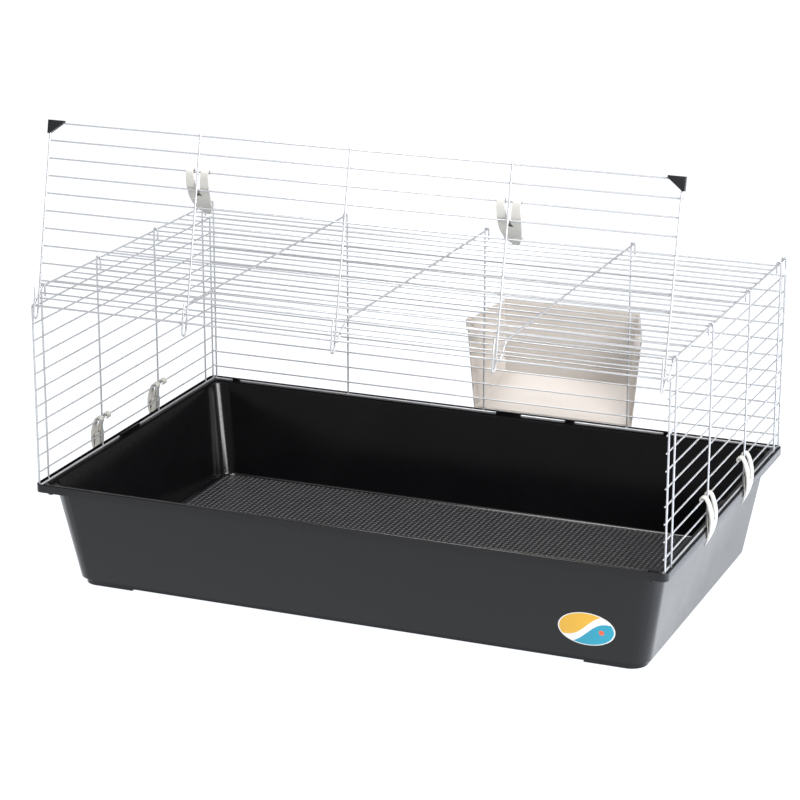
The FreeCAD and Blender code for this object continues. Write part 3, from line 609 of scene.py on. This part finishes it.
def build_clip(node, turn):
    """A claw with two hooked arms over the rail, webs behind them and a leaf with the latching lip."""
    mesh = bmesh.new()
    claw = [Vector((x, z)) * MM for x, z, _, _ in CLIP_PATH]

    def claw_columns(row):
        _, _, half, fork = CLIP_PATH[row]
        inner = fork if fork else half * SOLID_INNER_SHARE
        return [y * MM for y in (-half, -(half + inner) / 2, -inner, 0, inner, (half + inner) / 2, half)]

    def in_fork(row, column):
        return column in FORK_CELLS and CLIP_PATH[row][3] > 0

    ribbon(mesh, claw, CLIP_SHEET * MM, claw_columns, in_fork)
    leaf = [Vector(point) * MM for point in LEAF_PATH]
    leaf_columns = [LEAF_HALF * MM * (2 * i / LEAF_CELLS - 1) for i in range(LEAF_CELLS + 1)]
    ribbon(mesh, leaf, LEAF_SHEET * MM, lambda row: leaf_columns)
    for place in WEB_PLACES:
        sides = [[mesh.verts.new((x * MM, y * MM, z * MM)) for x, z in WEB]
                 for y in (place - WEB_HALF, place + WEB_HALF)]
        mesh.faces.new(sides[0])
        mesh.faces.new(reversed(sides[1]))
        for i in range(len(WEB)):
            after = (i + 1) % len(WEB)
            mesh.faces.new((sides[0][after], sides[0][i], sides[1][i], sides[1][after]))
    mesh.transform(turn)
    bmesh.ops.recalc_face_normals(mesh, faces=mesh.faces)
    data = bpy.data.meshes.new(f"{node}_moulded")
    mesh.to_mesh(data)
    mesh.free()
    smooth(data)
    piece = add_piece(f"{node}_moulded", data, [node], BODY_OF[node], "clip_plastic")
    rounded(piece, CLIP_ROUND, CLIP_ROUND_ANGLE)


def build_clips():
    """One clip for each clip's joint, turned to its rest place."""
    for name, joint in JOINTS.items():
        if not name.endswith("clip_pivot"):
            continue
        node = name.removesuffix("_pivot")
        if node.startswith("door"):
            towards_edge = Matrix(((0, 1, 0), (1, 0, 0), (0, 0, -1)))
            turn = Matrix.Rotation(-DOOR_LEAN - CLIP_REST, 3, "X") @ towards_edge
        else:
            turn = Matrix.Rotation(math.pi if node.startswith("left") else 0, 3, "Z")
        build_clip(node, Matrix.Translation(joint["pos_m"]) @ turn.to_4x4())


build_wires()
for side in ("left", "right"):
    build_welds(f"{side}_panel_welds", "cage",
                [f"{side}_panel_hooked_uprights", f"{side}_panel_end_uprights"],
                [f"{side}_panel_rails", f"{side}_panel_base_wire"])
build_welds("back_panel_welds", "cage", ["back_panel_hooked_uprights"],
            ["back_panel_rails", "back_panel_base_wire"])
build_welds("roof_welds", "cage", ["roof_cross_wires"],
            ["roof_long_wires", "roof_front_wire", "door_hinge_wire"])
build_welds("door_welds", "door", ["door_uprights"], ["door_rails"])
softened("base_tray", 0.5 * MM, embossed_z=FLOOR_Z)
build_floor_bosses()
build_clips()
for side in ("left", "right"):
    softened(f"door_{side}_corner_cap", 0.8 * MM)
softened("hay_rack", 0.8 * MM)
softened("oval_label", 0.1 * MM)


# ---------------------------------------------------------------- studio

TABLE_SIZE = 90
TABLE_GLOW = 1.07
SURROUNDINGS = 0.22
WHITE = (1, 1, 1)
LIGHTS = (
    # name, place, what it points at, size, power, spread in degrees, colour
    ("key", (2.3, -1.2, 1.7), (0, 0, 0.25), (1.5, 1.5), 115, 180, WHITE),
    ("front_top", (-0.7, -1.9, 2.5), (0, 0.1, 0.25), (2.0, 1.2), 20, 180, WHITE),
    ("strip", (-0.45, -0.1, 2.0), (-0.1, 0, 0), (1.8, 0.3), 32, 180, WHITE),
    ("side_pool", (1.05, 0.3, 0.9), (1.05, 0.3, 0), (0.5, 1.7), 88, 60, (0.70, 0.79, 1)),
)


def light_table():
    """A pale floor that glows evenly and reflects a little, so that light and shadow still show on it."""
    bpy.ops.mesh.primitive_plane_add(size=TABLE_SIZE, location=(0, 0, 0))
    ground = bpy.context.object
    ground.name = "studio_floor"
    n = Nodes("studio_floor")
    ground.data.materials.append(n.finish(
        Base_Color=(0.08, 0.08, 0.08, 1),
        Roughness=n.between(n.noise(3), 0.7, 0.8),
        Emission_Color=(0.92, 0.955, 1, 1),
        Emission_Strength=TABLE_GLOW,
    ))


def studio():
    """A light table in dim surroundings, with large soft lights."""
    bpy.context.scene.view_settings.view_transform = "Standard"
    light_table()
    world = bpy.data.worlds.new("studio")
    world.use_nodes = True
    background = world.node_tree.nodes["Background"]
    background.inputs["Color"].default_value = (*WHITE, 1)
    background.inputs["Strength"].default_value = SURROUNDINGS
    bpy.context.scene.world = world
    for name, place, target, (width, depth), power, spread, colour in LIGHTS:
        light = bpy.data.lights.new(name, "AREA")
        light.shape = "RECTANGLE"
        light.size, light.size_y = width, depth
        light.energy = power
        light.spread = math.radians(spread)
        light.color = colour
        lamp = bpy.data.objects.new(name, light)
        lamp.location = place
        lamp.rotation_euler = (Vector(place) - Vector(target)).to_track_quat("Z", "Y").to_euler()
        bpy.context.scene.collection.objects.link(lamp)


CAMERA_PLACE = Vector((1.4698, TRAY_Y - 3.6276, 1.5028))
CAMERA_AZIMUTH = math.radians(22.4)
CAMERA_ELEVATION = math.radians(17.59)
CAMERA_LENS = 126.68
CAMERA_SENSOR = 36
CAMERA_REACH = 60


def camera():
    """The view from the front right, a little above."""
    level = math.cos(CAMERA_ELEVATION)
    backwards = Vector((math.sin(CAMERA_AZIMUTH) * level, -math.cos(CAMERA_AZIMUTH) * level,
                        math.sin(CAMERA_ELEVATION)))
    data = bpy.data.cameras.new("camera")
    data.sensor_width = CAMERA_SENSOR
    data.lens = CAMERA_LENS
    data.clip_end = CAMERA_REACH
    eye = bpy.data.objects.new("camera", data)
    eye.location = CAMERA_PLACE
    eye.rotation_euler = backwards.to_track_quat("Z", "Y").to_euler()
    bpy.context.scene.collection.objects.link(eye)
    bpy.context.scene.camera = eye


studio()
camera()
bpy.context.view_layer.update()
